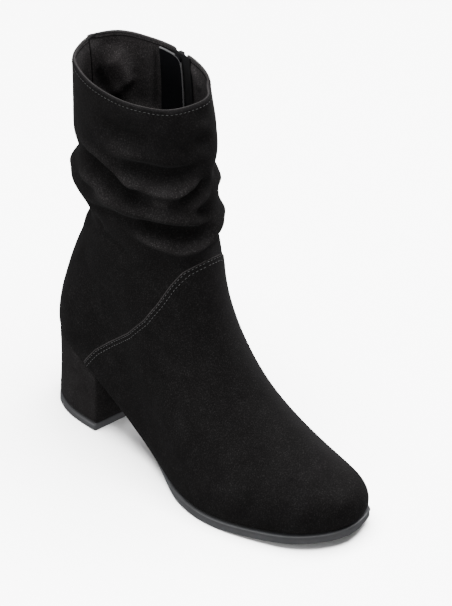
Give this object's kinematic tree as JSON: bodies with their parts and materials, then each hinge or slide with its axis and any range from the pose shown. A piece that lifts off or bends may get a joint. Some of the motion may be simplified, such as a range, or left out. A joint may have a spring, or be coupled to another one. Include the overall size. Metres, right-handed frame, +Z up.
{
  "type": "slouch boot",
  "caption": "Right ankle boot in black suede with a gathered slouching shaft, inner zip, covered block heel and thin rubber outsole.",
  "frame": {"origin": "on the floor, under the middle of the boot's bounding box", "axes": "toe towards -Y, +Z up from the floor, +X towards the inner side of the right foot"},
  "size_m": [0.0876, 0.2418, 0.256],
  "materials": {
    "suede": "matt napped suede",
    "sole_rubber": "smooth satin rubber",
    "heel_cover": "matt suede wrapped on the heel",
    "lining": "soft brushed lining",
    "zip_tape": "woven tape with a plastic coil",
    "zip_metal": "dark satin metal",
    "guard": "flat black webbing with a bound edge"
  },
  "bodies": {
    "boot": {"upper": "suede", "outsole": "sole_rubber", "heel_block": "heel_cover", "heel_top_piece": "sole_rubber", "insole": "lining", "zip_tape": "zip_tape", "zip_slider": "zip_metal", "zip_guard": "guard"},
    "pull": {"zip_pull": "zip_metal"}
  },
  "joints": [
    {"name": "zip_pull_swing", "type": "hinge", "parent": "boot", "child": "pull", "pos_m": [0.03397, 0.06173, 0.24321], "axis": [0.0149, -0.9958, 0.0899], "range_deg": [0, 150]}
  ]
}
